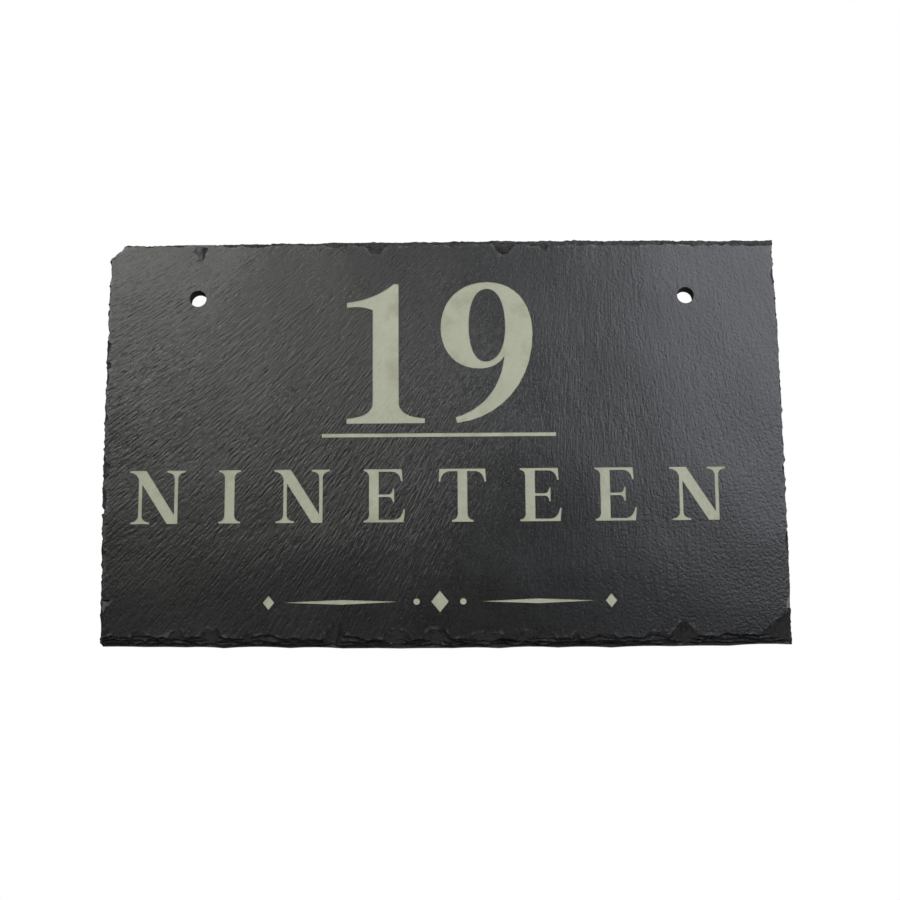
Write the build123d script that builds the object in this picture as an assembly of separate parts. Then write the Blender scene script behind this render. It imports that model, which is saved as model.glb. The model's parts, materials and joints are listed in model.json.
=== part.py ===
from build123d import *
import os
from collections import namedtuple
from random import Random

# House number plaque: one slab of riven slate, trimmed to size by hand, with knapped edges and two screw holes.
# Millimetres. The plaque is upright as it hangs: X to the right, Z up, the front face towards -Y.
# The flat back lies against the wall on the plane Y = 0, and the origin is the middle of the back.

# Slab, measured across the middle of its edges
plaque_width = 255.0
plaque_height = 156.2
plaque_thickness = 6.5

# How far the corners stray from a true rectangle, to the right and upwards
bottom_left_stray = (0.65, 0.75)
bottom_right_stray = (0.4, -0.35)
top_right_stray = (-0.25, 0.1)
top_left_stray = (0.0, -0.3)

# Outward bow of the hand-trimmed edges, from their ends to their middle
top_bow = 0.75
side_bow = 0.75
bottom_bow = 1.25

# Screw holes, drilled square through the slab, with the front rim slightly broken
hole_diameter = 6.35
hole_spacing = 184.0
hole_drop = 23.8
hole_rim_break = 0.4

# Top left corner, knocked off
clip_run = 6.7
clip_drop = 6.5

# Knapped edge: a back layer trimmed almost straight, then thin cleaved layers up to the front face.
# Each layer is broken back further than the one behind it, so the edge rises to the face in ragged steps.
back_layer = 2.0
broken_layers = 3
top_break_right = 3.4
top_break_left = 1.8
left_break = 1.3
right_break = 0.9
bottom_break = 2.7
clip_break = 1.2

# Ragged outline of a broken layer: bites side by side, some round and some struck to a point.
# A bite's bow is a share of its width, and the points between bites stray inwards.
bite_least = 4.0
bite_most = 12.0
bite_bow_least = 0.04
bite_bow_most = 0.13
bite_stray = 0.35

# Outline of the back layer: long shallow bites of the trimming knife
trim_least = 12.0
trim_most = 26.0
trim_bow_least = 0.004
trim_bow_most = 0.025
trim_stray = 0.3

# The left edge was trimmed roughly, in short bites
rough_trim_least = 4.0
rough_trim_most = 11.0
rough_trim_bow_least = 0.03
rough_trim_bow_most = 0.14
rough_trim_stray = 0.9

# Share of the bites that are round, and where along the others the struck tip lies
round_bite_share = 0.5
struck_tip_least = 0.3
struck_tip_most = 0.7

# Larger chips struck off the front face: edge, place along it (from its far end if negative), width at the edge,
# reach of the crest across the face, lean of the crest along the edge, width of the crest, and depth at the edge
chips = (
    ("bottom", 15.0, 8.0, 4.8, -1.0, 2.6, 3.0),
    ("bottom", 28.6, 9.5, 5.6, 0.3, 3.0, 3.8),
    ("bottom", 41.0, 12.5, 6.3, 0.5, 4.0, 4.6),
    ("bottom", 55.5, 9.0, 4.8, -1.0, 2.6, 3.6),
    ("bottom", 85.5, 13.0, 9.4, 1.8, 1.6, 4.8),
    ("bottom", 109.4, 14.0, 6.3, -0.6, 5.8, 5.0),
    ("bottom", 123.0, 15.0, 6.6, 0.6, 5.0, 5.2),
    ("bottom", 141.5, 19.0, 5.4, 0.5, 7.0, 4.2),
    ("bottom", 154.1, 11.0, 5.6, 0.8, 3.8, 3.6),
    ("bottom", 162.3, 12.0, 4.6, 0.4, 6.0, 3.0),
    ("bottom", 174.8, 6.0, 4.9, -0.6, 1.4, 3.2),
    ("bottom", 186.0, 15.0, 4.4, -1.0, 4.6, 3.2),
    ("bottom", 203.8, 13.0, 5.0, -0.5, 4.6, 3.4),
    ("bottom", -39.6, 18.0, 9.2, -0.5, 0.8, 5.2),
    ("top", 87.8, 6.0, 6.0, -0.5, 1.2, 1.3),
    ("top", 102.5, 12.0, 7.0, 0.5, 2.8, 1.8),
    ("top", 151.5, 12.0, 6.4, 0.0, 3.4, 1.4),
    ("top", -29.0, 7.0, 8.4, 0.0, 0.6, 1.1),
    ("left", 34.0, 6.0, 2.9, 0.4, 1.2, 3.0),
    ("left", 42.5, 5.5, 3.2, -0.5, 1.0, 3.0),
    ("left", 61.5, 5.0, 2.7, 0.6, 1.0, 1.8),
    ("left", 82.5, 9.0, 3.9, -0.5, 3.4, 4.0),
    ("left", 91.5, 4.0, 2.9, 0.3, 0.8, 3.0),
    ("left", 96.5, 5.5, 2.8, 0.6, 1.0, 9.0),
    ("left", 114.0, 6.5, 3.1, -0.6, 1.6, 1.8),
)

# Flat facets struck off the rim: edge, place of the deep end, length to the point where the facet runs out,
# reach from the edge across the front face, and depth at the edge
facets = (
    ("left", -16.4, 13.5, 5.4, 2.6),
    ("right", 12.7, 15.0, 3.0, 3.6),
)

# Flakes struck off corners: the edge that starts at the corner, reach along the edge before it, reach along the
# edge itself, and depth at the corner
corner_flakes = (
    ("right", 16.0, 14.0, 4.8),
    ("bottom", 2.4, 1.6, 25.0),
)

# How far a cutting shape stands clear of the stone
cut_clearance = 1.0

Bites = namedtuple("Bites", "least most bow_least bow_most stray")
Edge = namedtuple("Edge", "start end break_start break_end bow trim")

layer_bites = Bites(bite_least, bite_most, bite_bow_least, bite_bow_most, bite_stray)
knife_trim = Bites(trim_least, trim_most, trim_bow_least, trim_bow_most, trim_stray)
rough_trim = Bites(
    rough_trim_least, rough_trim_most, rough_trim_bow_least, rough_trim_bow_most, rough_trim_stray
)

chance = Random(41)
front = Vector(0, -1, 0)
layer_thickness = (plaque_thickness - back_layer) / broken_layers


def on_back(x, z):
    """A point, or a direction, in the plane of the back."""
    return Vector(x, 0, z)


def trimmed_edges():
    """The trimmed edges in order round the plaque, each from one corner to the next."""
    right = plaque_width / 2 - side_bow
    top = plaque_height / 2 - top_bow
    bottom = bottom_bow - plaque_height / 2
    bottom_left = on_back(-right, bottom) + on_back(*bottom_left_stray)
    bottom_right = on_back(right, bottom) + on_back(*bottom_right_stray)
    top_right = on_back(right, top) + on_back(*top_right_stray)
    top_left = on_back(-right, top) + on_back(*top_left_stray)
    clip_head = top_left + run_of(top_left, top_right) * clip_run
    clip_foot = top_left + run_of(top_left, bottom_left) * clip_drop
    return {
        "bottom": Edge(bottom_left, bottom_right, bottom_break, bottom_break, bottom_bow, knife_trim),
        "right": Edge(bottom_right, top_right, right_break, right_break, side_bow, knife_trim),
        "top": Edge(top_right, clip_head, top_break_right, top_break_left, top_bow, knife_trim),
        "clip": Edge(clip_head, clip_foot, clip_break, clip_break, 0, knife_trim),
        "left": Edge(clip_foot, bottom_left, left_break, left_break, side_bow, rough_trim),
    }


def run_of(start, end):
    """The direction along an edge."""
    return (end - start).normalized()


def inward_of(start, end):
    """The direction from an edge into the slab."""
    run = run_of(start, end)
    return on_back(-run.Z, run.X)


def bowed_point(start, end, bow, reached):
    """The point at a distance along an edge that bows outwards between its ends."""
    share = reached / (end - start).length
    return start + run_of(start, end) * reached - inward_of(start, end) * (bow * 4 * share * (1 - share))


def place_on(edge, place):
    """The point at a place along a trimmed edge, counted from its far end if negative."""
    reached = place if place >= 0 else (edge.end - edge.start).length + place
    return bowed_point(edge.start, edge.end, edge.bow, reached)


def broken_ends(edge, share):
    """The ends of an edge that is broken back by a share of its break."""
    inward = inward_of(edge.start, edge.end)
    return edge.start + inward * (edge.break_start * share), edge.end + inward * (edge.break_end * share)


def broken_corner(edge, before, share):
    """Where an edge meets the one before it, once both are broken back by a share of their breaks."""
    start, end = broken_ends(edge, share)
    before_start, before_end = broken_ends(before, share)
    run = run_of(start, end)
    across = inward_of(before_start, before_end)
    return start + run * ((before_start - start).dot(across) / run.dot(across))


def bite_widths(length, bites):
    """Uneven widths that together fill an edge of this length."""
    widths = []
    while sum(widths) < length:
        widths.append(chance.uniform(bites.least, bites.most))
    squeeze = length / sum(widths)
    return [width * squeeze for width in widths]


def bite(left, right, inward, bites):
    """One bite out of an edge: a round hollow, or two facets that meet off its middle."""
    bow = inward * ((right - left).length * chance.uniform(bites.bow_least, bites.bow_most))
    if chance.random() < round_bite_share:
        return [ThreePointArc(left, (left + right) / 2 + bow, right)]
    tip = left + (right - left) * chance.uniform(struck_tip_least, struck_tip_most) + bow
    return [Line(left, tip), Line(tip, right)]


def ragged_outline(share, layer=None):
    """The closed outline of one layer, broken back by a share of each edge's break."""
    edges = list(trimmed_edges().values())
    corners = [broken_corner(edge, edges[index - 1], share) for index, edge in enumerate(edges)]
    pieces = []
    for edge, corner, end in zip(edges, corners, corners[1:] + corners[:1]):
        bites = layer or edge.trim
        inward = inward_of(corner, end)
        reached = 0
        left = corner
        widths = bite_widths((end - corner).length, bites)
        for width in widths[:-1]:
            reached += width
            right = bowed_point(corner, end, edge.bow, reached) + inward * chance.uniform(0, bites.stray)
            pieces += bite(left, right, inward, bites)
            left = right
        pieces += bite(left, end, inward, bites)
    return make_face(pieces)


def stretched(points, about, factor):
    """Points moved away from one of their number."""
    return [about + (point - about) * factor for point in points]


def struck_flake(rim, root, reach, foot, depth):
    """The stone that one blow takes off: its rim lies in the front face, and it goes deepest at its foot.

    It is stretched away from its root, which lies on the rim, until it stands clear of the edge,
    and then away from its foot until it stands clear of the face. Its facets keep their slopes.
    """
    clear = stretched(rim + [foot], root, 1 + cut_clearance / reach)
    foot = clear.pop()
    mouth = stretched(clear, foot, 1 + cut_clearance / depth)
    return loft([make_face(Polyline(*mouth, close=True)), Vertex(foot)])


def chip_cut(name, place, width, reach, lean, crest_width, depth):
    """A chip with three facets that run from its crest and its sides down to the edge."""
    edge = trimmed_edges()[name]
    run = run_of(edge.start, edge.end)
    middle = place_on(edge, place) + front * plaque_thickness
    crest = middle + inward_of(edge.start, edge.end) * reach + run * lean
    to_side = run * (width / 2)
    to_crest_end = run * (crest_width / 2)
    rim = [middle - to_side, crest - to_crest_end, crest + to_crest_end, middle + to_side]
    return struck_flake(rim, crest, reach, middle - front * depth, depth)


def corner_flake_cut(name, reach_before, reach, depth):
    """A flake across the corner where an edge starts, with one facet."""
    edges = trimmed_edges()
    edge = edges[name]
    before = list(edges.values())[list(edges).index(name) - 1]
    corner = edge.start + front * plaque_thickness
    ends = [corner - run_of(before.start, before.end) * reach_before, corner + run_of(edge.start, edge.end) * reach]
    root = (ends[0] + ends[1]) / 2
    rim = [ends[0], corner, ends[1]]
    return struck_flake(rim, root, (corner - root).length, corner - front * depth, depth)


def broken_layer(number):
    """One cleaved layer, counted from the back."""
    foot = front * (back_layer + layer_thickness * (number - 1))
    return extrude(Location(foot) * ragged_outline(number / broken_layers, layer_bites), layer_thickness, dir=front)


def facet_cut(name, place, length, reach, depth):
    """The stone that a struck facet takes off: a wedge that runs out to a point along the edge."""
    edge = trimmed_edges()[name]
    start = place_on(edge, place)
    end = start + run_of(edge.start, edge.end) * length
    outward = -inward_of(edge.start, edge.end)
    face_corner = start - outward * reach + front * plaque_thickness
    edge_corner = start + front * (plaque_thickness - depth)
    beyond = edge_corner + (edge_corner - face_corner) * (cut_clearance / reach)
    ahead = front * cut_clearance
    deep_end = make_face(
        Polyline(face_corner, beyond, start + outward * cut_clearance + front * plaque_thickness + ahead,
                 face_corner + ahead, close=True)
    )
    point = Vertex(end + outward * cut_clearance + front * plaque_thickness + ahead)
    return loft([deep_end, point])


def screw_hole(side):
    """One drilled hole, with its rim broken at the front."""
    mouth = Vector(side * hole_spacing / 2, -plaque_thickness, plaque_height / 2 - hole_drop)
    bore = Plane(origin=mouth, z_dir=front)
    radius = hole_diameter / 2
    drill = Cylinder(radius, 3 * plaque_thickness)
    rim = Cone(radius - hole_rim_break, radius + hole_rim_break, 2 * hole_rim_break)
    return bore * drill + bore * rim


slate_plaque = extrude(ragged_outline(0), back_layer, dir=front)
for number in range(1, broken_layers + 1):
    slate_plaque += broken_layer(number)
for chip in chips:
    slate_plaque -= chip_cut(*chip)
for corner_flake in corner_flakes:
    slate_plaque -= corner_flake_cut(*corner_flake)
for facet in facets:
    slate_plaque -= facet_cut(*facet)
for side in (-1, 1):
    slate_plaque -= screw_hole(side)

os.makedirs("parts", exist_ok=True)
export_step(slate_plaque, "parts/slate_plaque.step")
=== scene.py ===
import json
import math

import bmesh
import bpy
from mathutils import Matrix, Vector, kdtree


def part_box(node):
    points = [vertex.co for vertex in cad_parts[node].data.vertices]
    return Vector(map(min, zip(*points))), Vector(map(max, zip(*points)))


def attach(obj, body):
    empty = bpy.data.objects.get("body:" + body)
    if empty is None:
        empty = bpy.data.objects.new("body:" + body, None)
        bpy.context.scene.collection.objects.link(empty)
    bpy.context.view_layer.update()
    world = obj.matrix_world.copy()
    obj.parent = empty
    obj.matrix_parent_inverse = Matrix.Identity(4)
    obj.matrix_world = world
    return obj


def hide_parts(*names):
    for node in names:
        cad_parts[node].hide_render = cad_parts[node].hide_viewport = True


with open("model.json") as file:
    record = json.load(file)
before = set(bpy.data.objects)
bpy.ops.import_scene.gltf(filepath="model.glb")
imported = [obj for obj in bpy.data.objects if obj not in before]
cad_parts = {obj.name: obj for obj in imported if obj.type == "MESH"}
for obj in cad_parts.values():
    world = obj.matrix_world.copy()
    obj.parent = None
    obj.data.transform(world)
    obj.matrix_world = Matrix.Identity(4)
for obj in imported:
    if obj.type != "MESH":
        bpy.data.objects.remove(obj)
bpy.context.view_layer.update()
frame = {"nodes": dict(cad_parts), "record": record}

# House number plaque: riven slate with knapped edges, pale cut numerals and two screw holes.
# Metres, in the frame of the CAD: X right, Z up, the front face towards -Y and the back on Y = 0.
MM = 0.001
X_AXIS = 0
Y_AXIS = 1
Z_AXIS = 2
slate_low, slate_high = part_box("slate_plaque")
FRONT = slate_low.y
BORES = [mount for mount in frame["record"]["mounts"] if mount["kind"] == "bore"]
HOLES = [Vector(bore["pos_m"]) for bore in BORES]
HOLE_RADIUS = BORES[0]["dims"]["r_mm"] * MM
HOLE_RIM = 0.5 * MM

# Material slots of the slate, after the riven finish in slot 0
CUT_SLOT = 1
DRILLED_SLOT = 2
BROKEN_SLOT = 3

# Sockets of a Mix node, by place, because those for numbers and for colours share their names
MIX_SHARE = 0
FIRST_NUMBER = 2
SECOND_NUMBER = 3
MIXED_NUMBER = 0
FIRST_COLOUR = 6
SECOND_COLOUR = 7
MIXED_COLOUR = 2

# Lettering
CUT_DEPTH = 0.22 * MM
NUMERAL_HEIGHT = 54 * MM
NUMERAL_FOOT = 5.5 * MM
NUMERAL_GAP = 5 * MM
WORD = "NINETEEN"
WORD_HEIGHT = 20 * MM
WORD_FOOT = -31.8 * MM
WORD_GAP = 12.4 * MM
WORD_MIDDLE = -5.7 * MM
LETTERING_MIDDLE = -1.4 * MM
RULE_LENGTH = 87 * MM
RULE_THICKNESS = 1.45 * MM
RULE_LEVEL = 1.0 * MM

# Steps in a bend, and how close an outline's two ends lie, in letter heights, when they are one point
BEND_STEPS = 10
SAME_POINT = 1e-6

# The ornament below the word. Its places are measured from its middle.
ORNAMENT_LEVEL = -61.2 * MM
MIDDLE_LOZENGE_WIDTH = 6.4 * MM
MIDDLE_LOZENGE_HEIGHT = 8 * MM
DOT_PLACE = 8.5 * MM
DOT_DIAMETER = 2.4 * MM
DOT_SIDES = 20
TAPER_PLACE = 36 * MM
TAPER_LENGTH = 44 * MM
TAPER_THICKNESS = 1.8 * MM
END_LOZENGE_PLACE = 62.5 * MM
END_LOZENGE_WIDTH = 4.2 * MM
END_LOZENGE_HEIGHT = 5.2 * MM

# Grain of the stone. On the left half it fans out from a point up to the right, and on the right half from
# one straight above. The first gives way to the second between two places along X.
LEFT_SOURCE = Vector((115 * MM, 0, 205 * MM))
RIGHT_SOURCE = Vector((60 * MM, 0, 260 * MM))
GRAIN_SOURCES = {"left_grain": LEFT_SOURCE, "right_grain": RIGHT_SOURCE}
GRAIN_TURN_START = 0
GRAIN_TURN_END = 60 * MM
GRAIN_STRETCH = 9
RIGHT_GRAIN_SHARE = 0.3

# The grain stands out most at one level, and less towards the head and the foot of the plaque
BOLD_LEVEL = 6 * MM
CALM_REACH = 74 * MM
CALM_SHARE = 0.24

# Cuts that give the stone enough facets for its relief
GRAIN_CUT_ANGLE = 0.0023
CROSS_CUT_PITCH = 2.4 * MM
CROSS_CUT_SLOPE = math.radians(-30)
DEPTH_CUT_PITCH = 0.5 * MM
MARGIN = 5.5 * MM
MARGIN_CUT_PITCH = 0.5 * MM
BACK_CUT_PITCH = 3.2 * MM

# Limits: gaps that are closed, how far off a plane counts as on it, and angles taken as flat or as smooth
WELD_GAP = 0.001 * MM
CUT_TOLERANCE = 0.01 * MM
BACK_TOLERANCE = 0.1 * MM
FLAT_ANGLE = math.radians(0.05)
SMOOTH_ANGLE = math.radians(40)

# How squarely a facet faces forwards or backwards, as the Y of its normal
SQUARE_ON = 0.9
HALF_ON = 0.5

# The broken edge. Its rim on the front is loose at the foot and tighter above. Its chips fade out by the rim
# and by the back.
RIM_REACH = 8 * MM
RIM_FADE = 2.2 * MM
RIM_WANDER = 3 * MM
LOOSE_RIM_TOP = -60 * MM
TIGHT_RIM_SHARE = 0.6
BACK_FADE = 1 * MM

# Facets of the rim that broke off cleanly: low on the left, low on the right, and the notch in the head
SMOOTH_FACETS = [Vector((x * MM, FRONT, z * MM)) for x, z in ((-125, -65), (127, -59), (-91, 74))]
SMOOTH_REACH = 7.5 * MM

# Relief of the stone: name, vertex group, blotch size, finer octaves, height, direction, the noise level that
# stays in place, and the grain that it follows
RELIEFS = (
    ("edge_chips", "edge", 1.6 * MM, 2, 1.1 * MM, "NORMAL", 0.6, None),
    ("rim_wander_across", "rim", 1.9 * MM, 1, 1.8 * MM, "X", 0.5, None),
    ("rim_wander_up", "rim", 2.3 * MM, 1, 1.8 * MM, "Z", 0.5, None),
    ("face_waves", "face", 45 * MM, 1, 1.0 * MM, "Y", 0.5, None),
    ("left_ripples", "left_face", 1.7 * MM, 1, 0.06 * MM, "Y", 0.5, "left_grain"),
    ("right_ripples", "right_face", 1.7 * MM, 1, 0.06 * MM, "Y", 0.5, "right_grain"),
    ("dimples", "right_face", 3.5 * MM, 2, 0.11 * MM, "Y", 0.5, None),
    ("back_waves", "back", 12 * MM, 3, -0.6 * MM, "Y", 0.25, None),
)

# Texture of the stone: blotch sizes in three directions, and heights
STREAK_PITCH = (6.5 * MM, 0.85 * MM, 1)
FIBRE_PITCH = (3 * MM, 0.48 * MM, 1)
STREAK_HEIGHT = 0.42 * MM
CLOUD_PITCH = (14 * MM,) * 3
GRIT_PITCH = (1.1 * MM,) * 3
GRIT_HEIGHT = 0.125 * MM
CALM_GRIT_SHARE = 0.35
CALM_GRIT_END = 20 * MM
SPECK_PITCH = (0.5 * MM,) * 3
BEDDING_PITCH = (9 * MM, 0.55 * MM, 9 * MM)
BEDDING_HEIGHT = 0.12 * MM
FRACTURE_PITCH = (0.9 * MM,) * 3
FRACTURE_HEIGHT = 0.16 * MM
SCORE_PITCH = (6 * MM, 0.3 * MM, 6 * MM)
SCORE_HEIGHT = 0.05 * MM
# Blotch size of the pale rim patches: bruising of struck stone, and painted highlight on the arris
BRUISE_AND_HIGHLIGHT_PITCH = (3 * MM,) * 3
# Blotch size of the painted shade under the broken rim
CREVICE_SHADE_PITCH = (2.2 * MM,) * 3
STAIN_PITCH = (9 * MM,) * 3
FLOOR_PITCH = (200 * MM,) * 3

# Spans of a noise, or of the nearness to the rim, over which a mark comes in
NOISE_SPAN = (0.3, 0.7)
SPECK_SPAN = (0.76, 0.82)
LAYER_SPAN = (0.38, 0.62)
# Pale rim patches, bruising and painted highlight: their noise span, and their span of nearness to the rim
BRUISE_AND_HIGHLIGHT_SPAN = (0.5, 0.64)
BRUISE_AND_HIGHLIGHT_RIM = (0.84, 0.96)
# Painted shade under the broken rim: its noise span, and its span of nearness to the rim
CREVICE_SHADE_SPAN = (0.46, 0.58)
CREVICE_SHADE_RIM = (0.6, 0.9)
STAIN_SPAN = (0.52, 0.72)

# Colours, each finish from its dark to its pale tone, and the marks on it
RIVEN_DARK = (0.004, 0.004, 0.0043, 1)
RIVEN_PALE = (0.016, 0.016, 0.016, 1)
SPECK_COLOUR = (0.12, 0.12, 0.11, 1)
SPECK_SHARE = 0.4
# Pale rim patches: bruising of struck stone, and a painted highlight where the arris catches light
BRUISE_AND_HIGHLIGHT_COLOUR = (0.06, 0.06, 0.057, 1)
BROKEN_DARK = (0.003, 0.003, 0.003, 1)
BROKEN_PALE = (0.028, 0.028, 0.027, 1)
# Painted shade under the broken rim: its near-black colour, and how much of it is laid on
CREVICE_SHADE_COLOUR = (0.002, 0.002, 0.002, 1)
CREVICE_SHADE_SHARE = 0.8
DRILLED_DARK = (0.004, 0.004, 0.004, 1)
DRILLED_PALE = (0.014, 0.014, 0.014, 1)
CUT_DARK = (0.41, 0.415, 0.31, 1)
CUT_PALE = (0.545, 0.555, 0.43, 1)
STAIN_COLOUR = (0.29, 0.265, 0.185, 1)
STAIN_SHARE = 0.45
FLOOR_DARK = (0.78, 0.78, 0.78, 1)
FLOOR_PALE = (0.82, 0.82, 0.82, 1)

# Gloss of the finishes, and how much of the grain the cut floors keep
RIVEN_ROUGHNESS = (0.24, 0.34)
BROKEN_ROUGHNESS = (0.54, 0.36)
# How much more matt the patches of painted shade under the rim are
CREVICE_SHADE_ROUGHNESS = 0.35
BROKEN_SPECULAR = 0.42
DRILLED_ROUGHNESS = (0.85, 0.95)
DRILLED_SPECULAR = 0.2
CUT_ROUGHNESS = (0.8, 0.95)
CUT_GRAIN_SHARE = 0.6
FLOOR_ROUGHNESS = 0.8

# Camera and stage
CAMERA_DISTANCE = 0.6741
CAMERA_BELOW = math.radians(12)
CAMERA_ROLL = math.radians(-0.44)
CAMERA_LENS = 72
CAMERA_NEAR = 10 * MM
CAMERA_AIM = Vector((2.66 * MM, 0, -3.45 * MM))
FLOOR_RADIUS = 0.9
FLOOR_LEVEL = -0.3
FLOOR_SIDES = 96
ROOM_GLOW = 0.07

# Soft lights: name, place, width, height, power in watts, colour
WHITE = (1, 1, 1)
WARM = (1, 1.01, 0.94)
COOL = (0.92, 0.95, 1.03)
SOFTBOXES = (
    ("left_softbox", (-0.225, -0.599, 0.255), 0.25, 0.25, 0.98, WARM),
    ("right_softbox", (0.245, -0.447, 0.182), 0.29, 0.29, 1.12, COOL),
    ("top_strip", (0, -0.62, 0.5), 1.0, 0.25, 0.94, WHITE),
    ("top_card", (0, -0.2, 0.8), 0.6, 0.6, 0.6, WHITE),
    ("notch_card", (0.24, -0.56, 0.45), 0.12, 0.12, 0.18, WHITE),
    ("left_card", (-0.72, -0.24, 0.3), 0.4, 0.4, 0.9, WHITE),
    ("left_rear_softbox", (-0.72, 0.24, 0.05), 0.4, 0.4, 0.5, WHITE),
    ("right_rear_softbox", (0.72, 0.24, -0.06), 0.4, 0.4, 0.8, WHITE),
    ("rear_strip", (0.25, 0.7, -0.05), 1.0, 0.4, 1.2, WHITE),
)

# Letter shapes, in letter heights. A step is a corner (x, y), or a bend round one or two control points that
# ends at its last two numbers.
ONE = [[
    (0.02, 0), (0.56, 0), (0.56, 0.035), (0.39, 0.045, 0.38, 0.14), (0.38, 1), (0.345, 1),
    (0.22, 0.89, 0.02, 0.865), (0.02, 0.83), (0.13, 0.845, 0.2, 0.81), (0.2, 0.14),
    (0.19, 0.045, 0.02, 0.035),
]]
NINE = [
    [
        (0.13, 0), (0.42, 0.03, 0.66, 0.28, 0.66, 0.64), (0.66, 0.87, 0.53, 1.01, 0.345, 1.01),
        (0.15, 1.01, 0.02, 0.87, 0.02, 0.68), (0.02, 0.5, 0.13, 0.385, 0.29, 0.385),
        (0.37, 0.385, 0.43, 0.42, 0.462, 0.475), (0.44, 0.27, 0.33, 0.1, 0.12, 0.04),
    ],
    [
        (0.47, 0.69), (0.47, 0.86, 0.42, 0.96, 0.345, 0.96), (0.265, 0.96, 0.215, 0.86, 0.215, 0.69),
        (0.215, 0.53, 0.26, 0.435, 0.33, 0.435), (0.42, 0.435, 0.47, 0.54, 0.47, 0.69),
    ],
]
LETTERS = {
    "N": [[
        (0.03, 0), (0.375, 0), (0.375, 0.035), (0.245, 0.045, 0.235, 0.15), (0.235, 0.738), (0.7, 0),
        (0.895, 0), (0.895, 0.85), (0.905, 0.955, 1.03, 0.965), (1.03, 1), (0.69, 1), (0.69, 0.965),
        (0.82, 0.955, 0.83, 0.85), (0.83, 0.167), (0.305, 1), (0, 1), (0, 0.965), (0.13, 0.955, 0.17, 0.83),
        (0.17, 0.15), (0.16, 0.045, 0.03, 0.035),
    ]],
    "I": [[
        (0, 0), (0.4, 0), (0.4, 0.035), (0.3, 0.045, 0.29, 0.15), (0.29, 0.85), (0.3, 0.955, 0.4, 0.965),
        (0.4, 1), (0, 1), (0, 0.965), (0.1, 0.955, 0.11, 0.85), (0.11, 0.15), (0.1, 0.045, 0, 0.035),
    ]],
    "E": [[
        (0, 0), (0.74, 0), (0.765, 0.25), (0.735, 0.25), (0.7, 0.055, 0.56, 0.05), (0.28, 0.05),
        (0.28, 0.475), (0.46, 0.475), (0.53, 0.47, 0.54, 0.37), (0.565, 0.37), (0.565, 0.63), (0.54, 0.63),
        (0.53, 0.53, 0.46, 0.525), (0.28, 0.525), (0.28, 0.95), (0.52, 0.95), (0.665, 0.945, 0.69, 0.77),
        (0.72, 0.77), (0.705, 1), (0, 1), (0, 0.965), (0.09, 0.955, 0.1, 0.86), (0.1, 0.14),
        (0.09, 0.045, 0, 0.035),
    ]],
    "T": [[
        (0.24, 0), (0.64, 0), (0.64, 0.035), (0.54, 0.045, 0.53, 0.15), (0.53, 0.95), (0.68, 0.95),
        (0.82, 0.94, 0.85, 0.75), (0.88, 0.75), (0.865, 1), (0.015, 1), (0, 0.75), (0.03, 0.75),
        (0.06, 0.94, 0.2, 0.95), (0.35, 0.95), (0.35, 0.15), (0.34, 0.045, 0.24, 0.035),
    ]],
}


# Outlines of the lettering

def outline_points(path):
    """The points of one closed outline, with its bends followed in short steps."""
    points = []
    for step in path:
        if len(step) == 2:
            points.append(Vector(step))
            continue
        controls = [points[-1]] + [Vector(step[i:i + 2]) for i in range(0, len(step), 2)]
        for count in range(1, BEND_STEPS + 1):
            along = count / BEND_STEPS
            level = controls
            while len(level) > 1:
                level = [a.lerp(b, along) for a, b in zip(level, level[1:])]
            points.append(level[0])
    if (points[0] - points[-1]).length < SAME_POINT:
        points.pop()
    return points


def placed(shape, left, foot, height):
    """A letter's outlines at their place on the front."""
    return [[Vector((left, foot)) + point * height for point in outline_points(path)] for path in shape]


def set_line(shapes, middle, foot, height, gap):
    """Letters side by side on one line, centred."""
    widths = [max(point.x for path in shape for point in outline_points(path)) * height for shape in shapes]
    left = middle - (sum(widths) + gap * (len(shapes) - 1)) / 2
    outlines = []
    for shape, width in zip(shapes, widths):
        outlines += placed(shape, left, foot, height)
        left += width + gap
    return outlines


def stretched(corners, middle, level, width, height):
    """Corners that lie between -1 and 1, stretched to a width and a height round a middle."""
    return [Vector((middle + x * width / 2, level + z * height / 2)) for x, z in corners]


def bar(middle, level, length, thickness):
    """A plain straight rule."""
    return stretched(((-1, -1), (1, -1), (1, 1), (-1, 1)), middle, level, length, thickness)


def lozenge(middle, level, width, height):
    """A diamond standing on its point."""
    return stretched(((0, -1), (1, 0), (0, 1), (-1, 0)), middle, level, width, height)


def dot(middle, level, diameter):
    """A small round dot."""
    turns = [math.tau * count / DOT_SIDES for count in range(DOT_SIDES)]
    return stretched([(math.cos(turn), math.sin(turn)) for turn in turns], middle, level, diameter, diameter)


def ornament(middle, level):
    """A lozenge, with a dot, a tapering rule and a smaller lozenge on each side."""
    outlines = [lozenge(middle, level, MIDDLE_LOZENGE_WIDTH, MIDDLE_LOZENGE_HEIGHT)]
    for side in (-1, 1):
        outlines.append(dot(middle + side * DOT_PLACE, level, DOT_DIAMETER))
        outlines.append(lozenge(middle + side * TAPER_PLACE, level, TAPER_LENGTH, TAPER_THICKNESS))
        end = middle + side * END_LOZENGE_PLACE
        outlines.append(lozenge(end, level, END_LOZENGE_WIDTH, END_LOZENGE_HEIGHT))
    return outlines


def lettering_outlines():
    """Every outline that is cut into the front."""
    outlines = set_line([ONE, NINE], LETTERING_MIDDLE, NUMERAL_FOOT, NUMERAL_HEIGHT, NUMERAL_GAP)
    outlines += set_line([LETTERS[c] for c in WORD], WORD_MIDDLE, WORD_FOOT, WORD_HEIGHT, WORD_GAP)
    outlines.append(bar(LETTERING_MIDDLE, RULE_LEVEL, RULE_LENGTH, RULE_THICKNESS))
    return outlines + ornament(LETTERING_MIDDLE, ORNAMENT_LEVEL)


# Modelling moves

def take(piece):
    """Selects one piece and nothing else."""
    bpy.ops.object.select_all(action="DESELECT")
    piece.select_set(True)
    bpy.context.view_layer.objects.active = piece


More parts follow.
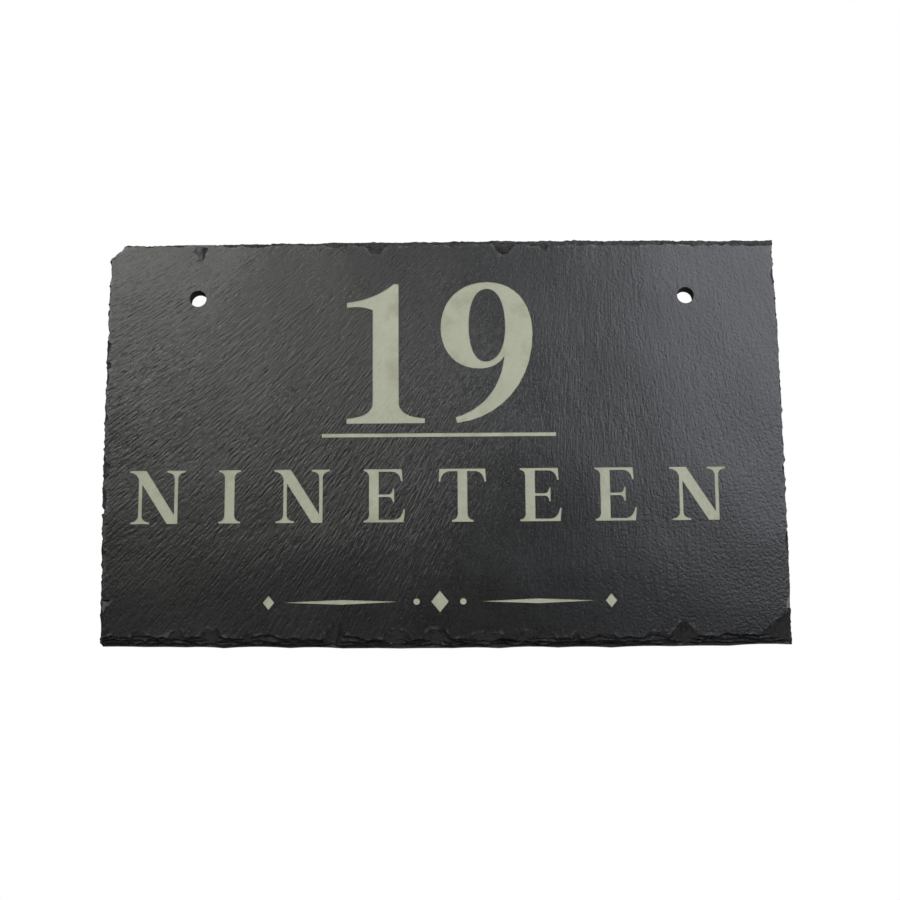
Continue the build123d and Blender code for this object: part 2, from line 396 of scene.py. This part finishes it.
def open_faces(piece):
    """Opens a piece for work on its faces."""
    take(piece)
    bpy.ops.object.mode_set(mode="EDIT")
    bpy.ops.mesh.select_mode(type="FACE")
    bpy.ops.mesh.select_all(action="SELECT")


def close_faces():
    """Ends the work on a piece's faces, with all of them showing again."""
    bpy.ops.mesh.reveal(select=False)
    bpy.ops.object.mode_set(mode="OBJECT")


def show_faces(piece, wanted):
    """Hides every face that fails a test."""
    bpy.ops.mesh.reveal(select=False)
    mesh = bmesh.from_edit_mesh(piece.data)
    chosen = [face for face in mesh.faces if wanted(face)]
    bpy.ops.mesh.select_all(action="DESELECT")
    for face in chosen:
        face.select_set(True)
    bmesh.update_edit_mesh(piece.data)
    bpy.ops.mesh.hide(unselected=True)


def apply_modifier(piece, name):
    """Makes a modifier's work part of the mesh."""
    take(piece)
    bpy.ops.object.modifier_apply(modifier=name)


# The slab

def slate_blank():
    """The slab as the CAD has it, as one closed mesh with its flat faces whole."""
    blank = bpy.data.objects.new("slate", frame["nodes"]["slate_plaque"].data.copy())
    bpy.context.scene.collection.objects.link(blank)
    open_faces(blank)
    bpy.ops.mesh.customdata_custom_splitnormals_clear()
    bpy.ops.mesh.remove_doubles(threshold=WELD_GAP)
    bpy.ops.mesh.dissolve_limited(angle_limit=FLAT_ANGLE)
    close_faces()
    blank.data.materials.clear()
    return blank


def lettering_cutter(material):
    """The solid letters that are sunk into the front."""
    flat = bpy.data.curves.new("lettering", "CURVE")
    flat.dimensions = "2D"
    flat.fill_mode = "BOTH"
    flat.extrude = 2 * CUT_DEPTH
    for points in lettering_outlines():
        spline = flat.splines.new("POLY")
        spline.points.add(len(points) - 1)
        for place, point in zip(spline.points, points):
            place.co = (point.x, point.y, 0, 1)
        spline.use_cyclic_u = True
    cutter = bpy.data.objects.new("lettering", flat)
    bpy.context.scene.collection.objects.link(cutter)
    take(cutter)
    bpy.ops.object.convert(target="MESH")
    cutter.rotation_euler.x = math.radians(90)
    cutter.location.y = FRONT - CUT_DEPTH
    bpy.ops.object.transform_apply(location=True, rotation=True, scale=True)
    open_faces(cutter)
    bpy.ops.mesh.remove_doubles(threshold=WELD_GAP)
    bpy.ops.mesh.normals_make_consistent(inside=False)
    close_faces()
    cutter.data.materials.append(material)
    return cutter


def cut_lettering(slate, material):
    """Sinks the letters into the front face, with a finish of their own."""
    cutter = lettering_cutter(material)
    sink = slate.modifiers.new("sink", "BOOLEAN")
    sink.operation = "DIFFERENCE"
    sink.solver = "EXACT"
    sink.material_mode = "TRANSFER"
    sink.object = cutter
    apply_modifier(slate, "sink")
    bpy.data.objects.remove(cutter)


def is_front(face, middle):
    """Whether a face lies on the true front plane."""
    return face.normal.y < -SQUARE_ON and middle.y < FRONT + CUT_TOLERANCE


def is_back(face, middle):
    """Whether a face lies on the back."""
    return face.normal.y > SQUARE_ON and middle.y > -BACK_TOLERANCE


def is_between(middle):
    """Whether a face lies behind the front plane and before the back."""
    return abs(middle.y - FRONT / 2) < -FRONT / 2 - CUT_TOLERANCE


def by_a_hole(point, reach):
    """Whether a point lies within reach of a screw hole's axis."""
    return any(math.hypot(point.x - hole.x, point.z - hole.z) < reach for hole in HOLES)


def by_a_smooth_facet(point):
    """Whether a point lies on one of the facets that broke off cleanly."""
    return any((point - facet).length < SMOOTH_REACH for facet in SMOOTH_FACETS)


def cut_across(place, normal):
    """One straight cut through all that shows."""
    bpy.ops.mesh.select_all(action="SELECT")
    bpy.ops.mesh.bisect(plane_co=place, plane_no=normal, threshold=CUT_TOLERANCE)


def cut_in_rows(axis, low, high, pitch):
    """Evenly spaced cuts between two places on an axis."""
    normal = Vector([float(index == axis) for index in range(3)])
    count = math.ceil((high - low) / pitch)
    for step in range(1, count):
        cut_across(normal * (low + (high - low) * step / count), normal)


def cut_along_grain():
    """Cuts that fan out with the grain, and cuts that cross them."""
    corners = [Vector((x, 0, z)) for x in (slate_low.x, slate_high.x) for z in (slate_low.z, slate_high.z)]
    bearings = [math.atan2(corner.z - RIGHT_SOURCE.z, corner.x - RIGHT_SOURCE.x) for corner in corners]
    for step in range(math.ceil((max(bearings) - min(bearings)) / GRAIN_CUT_ANGLE)):
        bearing = min(bearings) + GRAIN_CUT_ANGLE * step
        cut_across(RIGHT_SOURCE, Vector((-math.sin(bearing), 0, math.cos(bearing))))
    across = Vector((-math.sin(CROSS_CUT_SLOPE), 0, math.cos(CROSS_CUT_SLOPE)))
    reach = max(corner.dot(across) for corner in corners)
    for step in range(math.ceil(2 * reach / CROSS_CUT_PITCH)):
        cut_across(across * (CROSS_CUT_PITCH * step - reach), across)


def cut_facets(slate):
    """Cuts the slab into small facets, finest on the front and on the broken edges."""
    open_faces(slate)
    show_faces(slate, lambda face: not is_back(face, face.calc_center_median()))
    cut_along_grain()
    show_faces(slate, lambda face: is_back(face, face.calc_center_median()))
    cut_in_rows(X_AXIS, slate_low.x, slate_high.x, BACK_CUT_PITCH)
    cut_in_rows(Z_AXIS, slate_low.z, slate_high.z, BACK_CUT_PITCH)
    show_faces(slate, lambda face: is_between(face.calc_center_median()))
    cut_in_rows(Y_AXIS, slate_low.y, slate_high.y, DEPTH_CUT_PITCH)
    for axis in (X_AXIS, Z_AXIS):
        cut_in_rows(axis, slate_low[axis], slate_low[axis] + MARGIN, MARGIN_CUT_PITCH)
        cut_in_rows(axis, slate_high[axis] - MARGIN, slate_high[axis], MARGIN_CUT_PITCH)
    close_faces()


# Relief of the stone

def name_regions(slate, drilled_material, broken_material):
    """Sorts the facets into front, cut letters, back, bores and broken edge, and finishes the last two."""
    mesh = slate.data
    mesh.materials.append(drilled_material)
    mesh.materials.append(broken_material)
    regions = {"front": set(), "cut": set(), "back": set(), "bore": set(), "edge": set()}
    for face in mesh.polygons:
        if face.material_index == CUT_SLOT:
            regions["cut"].update(face.vertices)
        elif is_front(face, face.center):
            regions["front"].update(face.vertices)
        elif is_back(face, face.center):
            regions["back"].update(face.vertices)
        elif by_a_hole(face.center, HOLE_RADIUS + HOLE_RIM):
            regions["bore"].update(face.vertices)
            face.material_index = DRILLED_SLOT
        else:
            regions["edge"].update(face.vertices)
            if not (by_a_smooth_facet(face.center) and face.normal.y < -HALF_ON):
                face.material_index = BROKEN_SLOT
    return regions


def weigh(slate, name, vertices, weight):
    """Makes a vertex group, with a weight worked out for each vertex."""
    group = slate.vertex_groups.new(name=name)
    for index in vertices:
        group.add([index], weight(slate.data.vertices[index]), "REPLACE")


def lay_grain(slate, name, source):
    """A map whose second direction goes across the grain that fans out from a source."""
    grain = slate.data.uv_layers.new(name=name)
    for loop, corner in zip(slate.data.loops, grain.data):
        arm = slate.data.vertices[loop.vertex_index].co - source
        corner.uv = (math.hypot(arm.x, arm.z) / GRAIN_STRETCH, math.atan2(arm.z, arm.x) * source.length)


def right_share(vertex):
    """How far the grain of the right half has taken over at a vertex, from 0 to 1."""
    return min(1, max(0, (vertex.co.x - GRAIN_TURN_START) / (GRAIN_TURN_END - GRAIN_TURN_START)))


def mark_rim(slate, rim):
    """Marks how near each point is to the broken rim of the front, from 1 on it to 0 at a set reach."""
    tree = kdtree.KDTree(len(rim))
    for index in rim:
        tree.insert(slate.data.vertices[index].co, index)
    tree.balance()
    nearness = slate.data.attributes.new("rim", "FLOAT", "POINT")
    for vertex, mark in zip(slate.data.vertices, nearness.data):
        distance = tree.find(vertex.co)[2]
        mark.value = max(0, 1 - distance / RIM_REACH)


def weigh_regions(slate, regions):
    """The vertex groups that the reliefs are raised in."""
    def from_rim(vertex):
        """The distance from the rim, up to its reach."""
        return (1 - slate.data.attributes["rim"].data[vertex.index].value) * RIM_REACH

    def roughness(vertex):
        """How much a vertex of the broken edge is chipped."""
        if by_a_smooth_facet(vertex.co):
            return 0
        return min(1, from_rim(vertex) / RIM_FADE) * min(1, -vertex.co.y / BACK_FADE)

    def looseness(vertex):
        """How far a vertex by the rim wanders."""
        share = 1 if vertex.co.z < LOOSE_RIM_TOP else TIGHT_RIM_SHARE
        return max(0, 1 - from_rim(vertex) / RIM_WANDER) * share

    face = regions["front"] | regions["cut"]
    weigh(slate, "face", face, lambda vertex: 1)
    weigh(slate, "left_face", face, lambda vertex: 1 - right_share(vertex))
    weigh(slate, "right_face", face, right_share)
    weigh(slate, "back", regions["back"] - regions["edge"] - regions["bore"], lambda vertex: 1)
    weigh(slate, "edge", regions["edge"] - regions["back"], roughness)
    weigh(slate, "rim", regions["front"] | regions["edge"], looseness)


def raise_relief(slate, name, group, pitch, octaves, height, direction, still_level, grain):
    """Raises one scale of relief where a vertex group has weight, along a grain if one is named."""
    clouds = bpy.data.textures.new(name, "CLOUDS")
    clouds.noise_basis = "IMPROVED_PERLIN"
    clouds.noise_scale = pitch
    clouds.noise_depth = octaves
    relief = slate.modifiers.new(name, "DISPLACE")
    relief.texture = clouds
    relief.texture_coords = "UV" if grain else "LOCAL"
    relief.uv_layer = grain or ""
    relief.vertex_group = group
    relief.direction = direction
    relief.mid_level = still_level
    relief.strength = height
    apply_modifier(slate, name)


def sharpen_rims(slate):
    """Keeps a crisp line wherever broken stone meets another finish."""
    open_faces(slate)
    bpy.ops.mesh.select_all(action="DESELECT")
    slate.active_material_index = BROKEN_SLOT
    bpy.ops.object.material_slot_select()
    bpy.ops.mesh.region_to_loop()
    bpy.ops.mesh.mark_sharp()
    close_faces()


def shape_stone(slate, drilled_material, broken_material):
    """The waves and grain of the cleaved faces, and the rough broken edge."""
    regions = name_regions(slate, drilled_material, broken_material)
    for grain, source in GRAIN_SOURCES.items():
        lay_grain(slate, grain, source)
    mark_rim(slate, regions["front"] & regions["edge"])
    weigh_regions(slate, regions)
    for relief in RELIEFS:
        raise_relief(slate, *relief)
    for grain in GRAIN_SOURCES:
        slate.data.uv_layers.remove(slate.data.uv_layers[grain])
    slate.vertex_groups.clear()
    take(slate)
    bpy.ops.object.shade_smooth_by_angle(angle=SMOOTH_ANGLE)
    sharpen_rims(slate)


# Finishes

def feed(tree, socket, value):
    """Sets an input to a value, or links it to another node's output."""
    if isinstance(value, bpy.types.NodeSocket):
        tree.links.new(value, socket)
    else:
        socket.default_value = value


def add_node(tree, kind, **inputs):
    """A shader node with its named inputs fed."""
    made = tree.nodes.new("ShaderNode" + kind)
    for name, value in inputs.items():
        feed(tree, made.inputs[name.replace("_", " ")], value)
    return made


def reckon(tree, operation, first, second=0.0):
    """One step of arithmetic."""
    step = tree.nodes.new("ShaderNodeMath")
    step.operation = operation
    feed(tree, step.inputs[0], first)
    feed(tree, step.inputs[1], second)
    return step.outputs[0]


def vector_step(tree, operation, first, second):
    """One step of arithmetic on a vector."""
    step = tree.nodes.new("ShaderNodeVectorMath")
    step.operation = operation
    feed(tree, step.inputs[0], first)
    feed(tree, step.inputs[1], second)
    return step


def noise(tree, place, pitch, detail=2.0, roughness=0.5):
    """Cloudy noise, from 0 to 1, with blotches of a size given for each direction."""
    spread_out = vector_step(tree, "DIVIDE", place, pitch).outputs[0]
    clouds = add_node(tree, "TexNoise", Vector=spread_out, Scale=1.0, Detail=detail, Roughness=roughness)
    return clouds.outputs[0]


def between(tree, value, low, high, to_low=0.0, to_high=1.0):
    """A value stretched from one range to another, and held inside it."""
    stretch = add_node(
        tree, "MapRange", Value=value, From_Min=low, From_Max=high, To_Min=to_low, To_Max=to_high
    )
    return stretch.outputs[0]


def blend(tree, share, first, second):
    """A mix of two colours."""
    mix = tree.nodes.new("ShaderNodeMix")
    mix.data_type = "RGBA"
    feed(tree, mix.inputs[MIX_SHARE], share)
    feed(tree, mix.inputs[FIRST_COLOUR], first)
    feed(tree, mix.inputs[SECOND_COLOUR], second)
    return mix.outputs[MIXED_COLOUR]


def weighed(tree, *parts):
    """A sum of values, each with its weight."""
    total = 0.0
    for value, weight in parts:
        total = reckon(tree, "ADD", reckon(tree, "MULTIPLY", value, weight), total)
    return total


def start_group(name, outputs):
    """A new node group that takes a place on the stone and gives the named values."""
    tree = bpy.data.node_groups.new(name, "ShaderNodeTree")
    tree.interface.new_socket("Place", in_out="INPUT", socket_type="NodeSocketVector")
    for output in outputs:
        tree.interface.new_socket(output, in_out="OUTPUT", socket_type="NodeSocketFloat")
    return tree, tree.nodes.new("NodeGroupInput").outputs["Place"], tree.nodes.new("NodeGroupOutput")


def fan_streaks(tree, place, source):
    """Streaks of two sizes that fan out from a source."""
    arm = vector_step(tree, "SUBTRACT", place, source).outputs[0]
    flat = vector_step(tree, "MULTIPLY", arm, (1, 0, 1)).outputs[0]
    apart = add_node(tree, "SeparateXYZ", Vector=flat)
    across = reckon(tree, "ARCTAN2", apart.outputs["Z"], apart.outputs["X"])
    along = vector_step(tree, "LENGTH", flat, (0, 0, 0)).outputs["Value"]
    fan = add_node(tree, "CombineXYZ", X=along, Y=reckon(tree, "MULTIPLY", across, source.length)).outputs[0]
    coarse = noise(tree, fan, STREAK_PITCH, 2.0, 0.6)
    fine = noise(tree, fan, FIBRE_PITCH, 1.0)
    return weighed(tree, (coarse, 0.65), (fine, 0.35))


def riven_grain_group():
    """Fine streaks that follow the grain: their pattern, and their height in metres."""
    tree, place, result = start_group("riven_grain", ("Streaks", "Relief"))
    apart = add_node(tree, "SeparateXYZ", Vector=place)
    turned = between(tree, apart.outputs["X"], GRAIN_TURN_START, GRAIN_TURN_END)
    off_level = reckon(tree, "ABSOLUTE", reckon(tree, "SUBTRACT", apart.outputs["Z"], BOLD_LEVEL))
    strength = between(tree, off_level, 0, CALM_REACH, 1, CALM_SHARE)
    mix = add_node(tree, "Mix", Factor=turned)
    feed(tree, mix.inputs[FIRST_NUMBER], fan_streaks(tree, place, LEFT_SOURCE))
    feed(tree, mix.inputs[SECOND_NUMBER], fan_streaks(tree, place, RIGHT_SOURCE))
    streaks = mix.outputs[MIXED_NUMBER]
    feed(tree, result.inputs["Streaks"], between(tree, streaks, *NOISE_SPAN))
    height = between(tree, turned, 0, 1, STREAK_HEIGHT, STREAK_HEIGHT * RIGHT_GRAIN_SHARE)
    relief = reckon(tree, "MULTIPLY", streaks, reckon(tree, "MULTIPLY", height, strength))
    feed(tree, result.inputs["Relief"], relief)
    return tree


def stone_grit_group():
    """Broad clouds, fine grit and rare bright specks, with the grit's height in metres."""
    tree, place, result = start_group("stone_grit", ("Clouds", "Grit", "Specks", "Relief"))
    clouds = noise(tree, place, CLOUD_PITCH, 3.0, 0.55)
    grit = noise(tree, place, GRIT_PITCH, 2.0, 0.5)
    specks = noise(tree, place, SPECK_PITCH, 0.0)
    feed(tree, result.inputs["Clouds"], between(tree, clouds, *NOISE_SPAN))
    feed(tree, result.inputs["Grit"], between(tree, grit, *NOISE_SPAN))
    feed(tree, result.inputs["Specks"], between(tree, specks, *SPECK_SPAN))
    right = add_node(tree, "SeparateXYZ", Vector=place).outputs["X"]
    height = between(tree, right, CALM_GRIT_END, slate_high.x, GRIT_HEIGHT * CALM_GRIT_SHARE, GRIT_HEIGHT)
    feed(tree, result.inputs["Relief"], reckon(tree, "MULTIPLY", grit, height))
    return tree


def start_finish(name):
    """A new material: its node tree, its shader and the place on the stone."""
    material = bpy.data.materials.new(name)
    material.use_nodes = True
    tree = material.node_tree
    place = tree.nodes.new("ShaderNodeTexCoord").outputs["Object"]
    return material, tree, tree.nodes["Principled BSDF"], place


def use_group(tree, group, place):
    """A node group set to work in a material."""
    user = tree.nodes.new("ShaderNodeGroup")
    user.node_tree = group
    feed(tree, user.inputs["Place"], place)
    return user.outputs


def add_bump(tree, shader, *reliefs):
    """Adds reliefs up, in metres, and tilts the shader's normal by them."""
    height = reliefs[0]
    for relief in reliefs[1:]:
        height = reckon(tree, "ADD", height, relief)
    bump = add_node(tree, "Bump", Height=height, Distance=1.0, Strength=1.0)
    feed(tree, shader.inputs["Normal"], bump.outputs[0])


def rim_nearness(tree):
    """How near the broken rim of the front is, from 1 on it to 0 at its reach."""
    rim = tree.nodes.new("ShaderNodeAttribute")
    rim.attribute_name = "rim"
    return rim.outputs["Fac"]


def rim_bruises_and_highlights(tree, place):
    """Pale patches along the broken rim: bruising of struck stone, and a painted highlight where the arris
    catches light.
    """
    patches = between(tree, noise(tree, place, BRUISE_AND_HIGHLIGHT_PITCH, 2.0, 0.6), *BRUISE_AND_HIGHLIGHT_SPAN)
    return reckon(tree, "MULTIPLY", between(tree, rim_nearness(tree), *BRUISE_AND_HIGHLIGHT_RIM), patches)


def painted_crevice_shade(tree, place):
    """Painted shade: dark patches on the broken edge close under the rim, where shade falls in its crevices.
    """
    shade_patches = between(tree, noise(tree, place, CREVICE_SHADE_PITCH, 2.0, 0.6), *CREVICE_SHADE_SPAN)
    return reckon(tree, "MULTIPLY", between(tree, rim_nearness(tree), *CREVICE_SHADE_RIM), shade_patches)


def bedding_lines(tree, place):
    """The layers of the stone, as lines that follow the broken rim."""
    apart = add_node(tree, "SeparateXYZ", Vector=place)
    below = reckon(tree, "MULTIPLY", rim_nearness(tree), RIM_REACH)
    layered = add_node(tree, "CombineXYZ", X=apart.outputs["X"], Y=below, Z=apart.outputs["Z"]).outputs[0]
    return noise(tree, layered, BEDDING_PITCH, 2.0, 0.6)


def riven_finish(grain_group, grit_group):
    """The cleaved faces: dark grey with a satin gloss, streaked along the grain."""
    material, tree, shader, place = start_finish("riven_slate")
    grain = use_group(tree, grain_group, place)
    grit = use_group(tree, grit_group, place)
    tone = weighed(tree, (grain["Streaks"], 0.45), (grit["Grit"], 0.3), (grit["Clouds"], 0.25))
    stone = blend(tree, tone, RIVEN_DARK, RIVEN_PALE)
    stone = blend(tree, reckon(tree, "MULTIPLY", grit["Specks"], SPECK_SHARE), stone, SPECK_COLOUR)
    # Pale patches by the rim: bruising of struck stone, and a painted highlight of the lit arris
    stone = blend(tree, rim_bruises_and_highlights(tree, place), stone, BRUISE_AND_HIGHLIGHT_COLOUR)
    feed(tree, shader.inputs["Base Color"], stone)
    gloss = weighed(tree, (grain["Streaks"], 0.3), (grit["Grit"], 0.4), (grit["Clouds"], 0.3))
    feed(tree, shader.inputs["Roughness"], between(tree, gloss, 0, 1, *RIVEN_ROUGHNESS))
    add_bump(tree, shader, grain["Relief"], grit["Relief"])
    return material


def broken_finish(grit_group):
    """The knapped edge: rougher, with the layers of the stone showing as fine lines, and painted shade in
    patches under its rim.
    """
    material, tree, shader, place = start_finish("broken_slate")
    grit = use_group(tree, grit_group, place)
    bedding = bedding_lines(tree, place)
    fracture = noise(tree, place, FRACTURE_PITCH, 3.0, 0.6)
    crevice_shade = painted_crevice_shade(tree, place)
    layers = between(tree, bedding, *LAYER_SPAN)
    scars = between(tree, fracture, *NOISE_SPAN)
    tone = weighed(tree, (layers, 0.35), (scars, 0.4), (grit["Clouds"], 0.25))
    stone = blend(tree, tone, BROKEN_DARK, BROKEN_PALE)
    # Painted shade: the patches under the rim are darkened in the colour, where shade falls in the crevices
    stone = blend(tree, reckon(tree, "MULTIPLY", crevice_shade, CREVICE_SHADE_SHARE), stone, CREVICE_SHADE_COLOUR)
    feed(tree, shader.inputs["Base Color"], stone)
    roughness = between(tree, scars, 0, 1, *BROKEN_ROUGHNESS)
    matt = reckon(tree, "MULTIPLY", crevice_shade, CREVICE_SHADE_ROUGHNESS)
    feed(tree, shader.inputs["Roughness"], reckon(tree, "ADD", roughness, matt))
    shader.inputs["Specular IOR Level"].default_value = BROKEN_SPECULAR
    steps = reckon(tree, "MULTIPLY", bedding, BEDDING_HEIGHT)
    add_bump(tree, shader, steps, reckon(tree, "MULTIPLY", fracture, FRACTURE_HEIGHT))
    return material


def drilled_finish(grit_group):
    """The walls of the screw holes: dark and matt, scored round and round by the drill."""
    material, tree, shader, place = start_finish("drilled_slate")
    grit = use_group(tree, grit_group, place)
    scores = noise(tree, place, SCORE_PITCH, 2.0)
    tone = weighed(tree, (between(tree, scores, *NOISE_SPAN), 0.6), (grit["Grit"], 0.4))
    feed(tree, shader.inputs["Base Color"], blend(tree, tone, DRILLED_DARK, DRILLED_PALE))
    feed(tree, shader.inputs["Roughness"], between(tree, grit["Grit"], 0, 1, *DRILLED_ROUGHNESS))
    shader.inputs["Specular IOR Level"].default_value = DRILLED_SPECULAR
    add_bump(tree, shader, reckon(tree, "MULTIPLY", scores, SCORE_HEIGHT))
    return material


def cut_finish(grain_group, grit_group):
    """The floors of the cut letters: pale, chalky stone, clouded and faintly streaked."""
    material, tree, shader, place = start_finish("cut_slate")
    grain = use_group(tree, grain_group, place)
    grit = use_group(tree, grit_group, place)
    tone = weighed(tree, (grain["Streaks"], 0.35), (grit["Grit"], 0.25), (grit["Clouds"], 0.4))
    stone = blend(tree, tone, CUT_DARK, CUT_PALE)
    stains = between(tree, noise(tree, place, STAIN_PITCH, 3.0, 0.6), *STAIN_SPAN)
    stone = blend(tree, reckon(tree, "MULTIPLY", stains, STAIN_SHARE), stone, STAIN_COLOUR)
    feed(tree, shader.inputs["Base Color"], stone)
    feed(tree, shader.inputs["Roughness"], between(tree, grit["Grit"], 0, 1, *CUT_ROUGHNESS))
    add_bump(tree, shader, reckon(tree, "MULTIPLY", grain["Relief"], CUT_GRAIN_SHARE), grit["Relief"])
    return material


def floor_finish():
    """Plain matt white, faintly uneven."""
    material, tree, shader, place = start_finish("pale_floor")
    shade = between(tree, noise(tree, place, FLOOR_PITCH, 2.0), *NOISE_SPAN)
    feed(tree, shader.inputs["Base Color"], blend(tree, shade, FLOOR_DARK, FLOOR_PALE))
    shader.inputs["Roughness"].default_value = FLOOR_ROUGHNESS
    return material


# Stage, light and camera

def place_camera():
    """The camera stands a little below the plaque and looks up at it."""
    camera = bpy.data.objects.new("camera", bpy.data.cameras.new("camera"))
    bpy.context.scene.collection.objects.link(camera)
    camera.data.lens = CAMERA_LENS
    camera.data.clip_start = CAMERA_NEAR
    turn = Matrix.Rotation(math.radians(90) + CAMERA_BELOW, 4, "X") @ Matrix.Rotation(CAMERA_ROLL, 4, "Z")
    place = CAMERA_AIM - turn.to_3x3() @ Vector((0, 0, -CAMERA_DISTANCE))
    camera.matrix_world = Matrix.Translation(place) @ turn
    bpy.context.scene.camera = camera


def place_softbox(name, place, width, height, power, colour):
    """A soft light that faces the plaque."""
    lamp = bpy.data.objects.new(name, bpy.data.lights.new(name, "AREA"))
    bpy.context.scene.collection.objects.link(lamp)
    lamp.data.shape = "RECTANGLE"
    lamp.data.size = width
    lamp.data.size_y = height
    lamp.data.energy = power
    lamp.data.color = colour
    lamp.location = place
    lamp.rotation_euler = Vector(place).to_track_quat("Z", "Y").to_euler()
    lamp.visible_camera = False


def white_room():
    """White all round to the camera, and a dim even light on the plaque."""
    world = bpy.data.worlds.new("white_room")
    bpy.context.scene.world = world
    world.use_nodes = True
    tree = world.node_tree
    seen = tree.nodes.new("ShaderNodeLightPath")
    mix = tree.nodes.new("ShaderNodeMixShader")
    white = tree.nodes.new("ShaderNodeBackground")
    white.inputs["Color"].default_value = (*WHITE, 1)
    dim = tree.nodes["Background"]
    dim.inputs["Color"].default_value = (*WHITE, 1)
    dim.inputs["Strength"].default_value = ROOM_GLOW
    tree.links.new(seen.outputs["Is Camera Ray"], mix.inputs[0])
    tree.links.new(dim.outputs[0], mix.inputs[1])
    tree.links.new(white.outputs[0], mix.inputs[2])
    tree.links.new(mix.outputs[0], tree.nodes["World Output"].inputs["Surface"])


def pale_floor():
    """A round floor, well below the plaque."""
    bpy.ops.object.select_all(action="DESELECT")
    bpy.ops.mesh.primitive_circle_add(
        vertices=FLOOR_SIDES, radius=FLOOR_RADIUS, fill_type="NGON", location=(0, 0, FLOOR_LEVEL)
    )
    floor = bpy.context.object
    floor.name = "floor"
    floor.data.materials.append(floor_finish())


# The plaque
grain_group = riven_grain_group()
grit_group = stone_grit_group()
slate = slate_blank()
slate.data.materials.append(riven_finish(grain_group, grit_group))
cut_lettering(slate, cut_finish(grain_group, grit_group))
cut_facets(slate)
shape_stone(slate, drilled_finish(grit_group), broken_finish(grit_group))
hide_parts("slate_plaque")
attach(slate, "root")

# Its picture
place_camera()
for softbox in SOFTBOXES:
    place_softbox(*softbox)
white_room()
pale_floor()
bpy.context.scene.view_settings.view_transform = "Standard"
